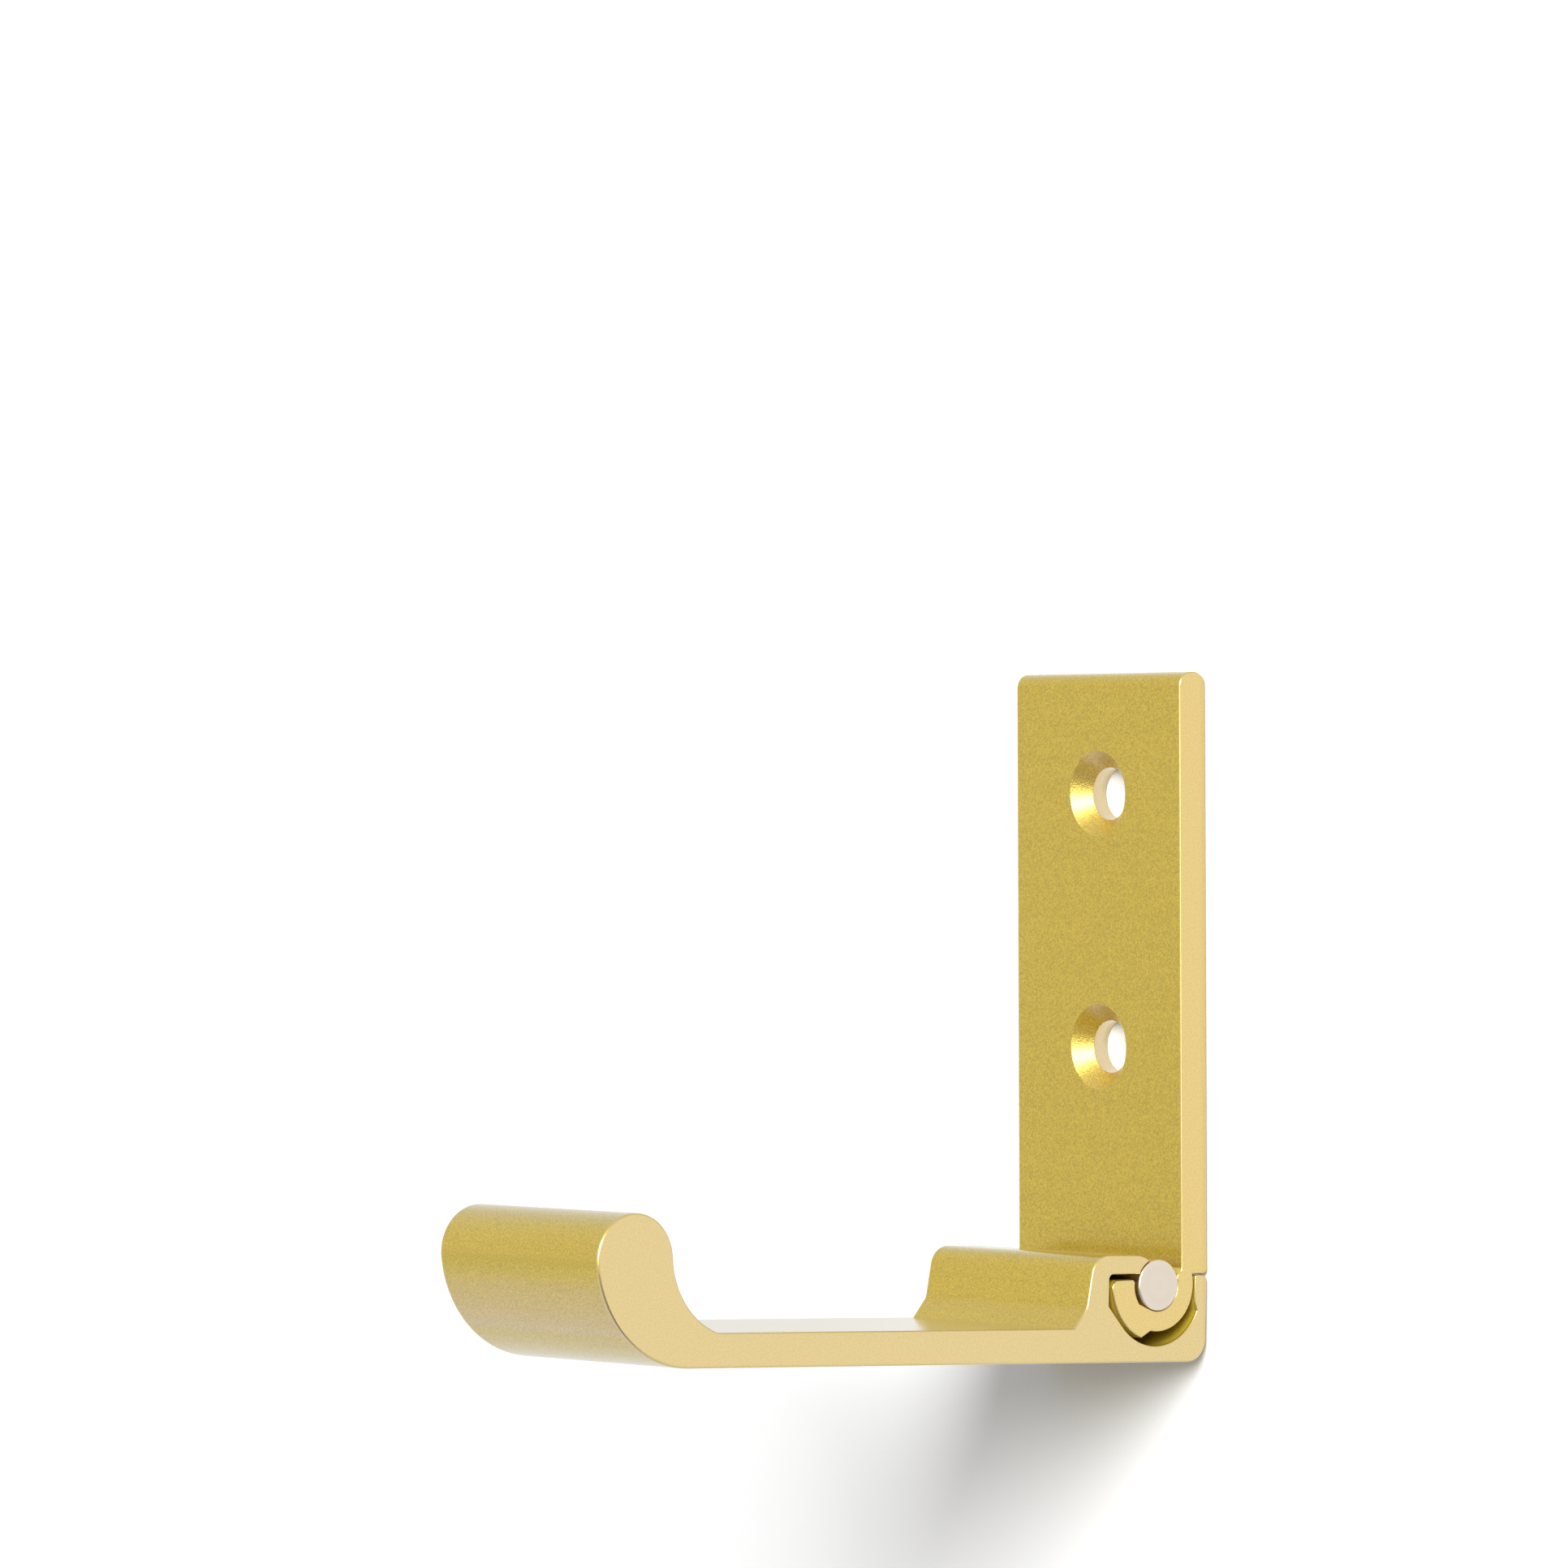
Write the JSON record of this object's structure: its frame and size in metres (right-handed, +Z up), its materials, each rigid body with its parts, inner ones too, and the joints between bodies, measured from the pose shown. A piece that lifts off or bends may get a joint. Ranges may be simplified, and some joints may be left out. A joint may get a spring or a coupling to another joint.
{
  "type": "folding wall hook",
  "caption": "Slim folding hook: a bar with a rounded upturned nose hinges on a pin at the foot of a screwed wall plate, and folds up against it.",
  "frame": {"origin": "on the wall, in the plate's back face, midway between the two screw holes", "axes": "+X along the hinge pin, +Y into the wall, +Z up; the arm points along -Y"},
  "size_m": [0.0252, 0.0746, 0.0674],
  "materials": {
    "gold_section": "satin gold anodised",
    "pin_steel": "turned, satin"
  },
  "bodies": {
    "mounting": {"wall_plate": "gold_section", "hinge_pin": "pin_steel"},
    "arm": {"hook_arm": "gold_section"}
  },
  "joints": [
    {"name": "arm_fold", "type": "hinge", "parent": "mounting", "child": "arm", "pos_m": [0, -0.00635, -0.0354], "axis": [-1, 0, 0], "range_deg": [0, 83]}
  ]
}
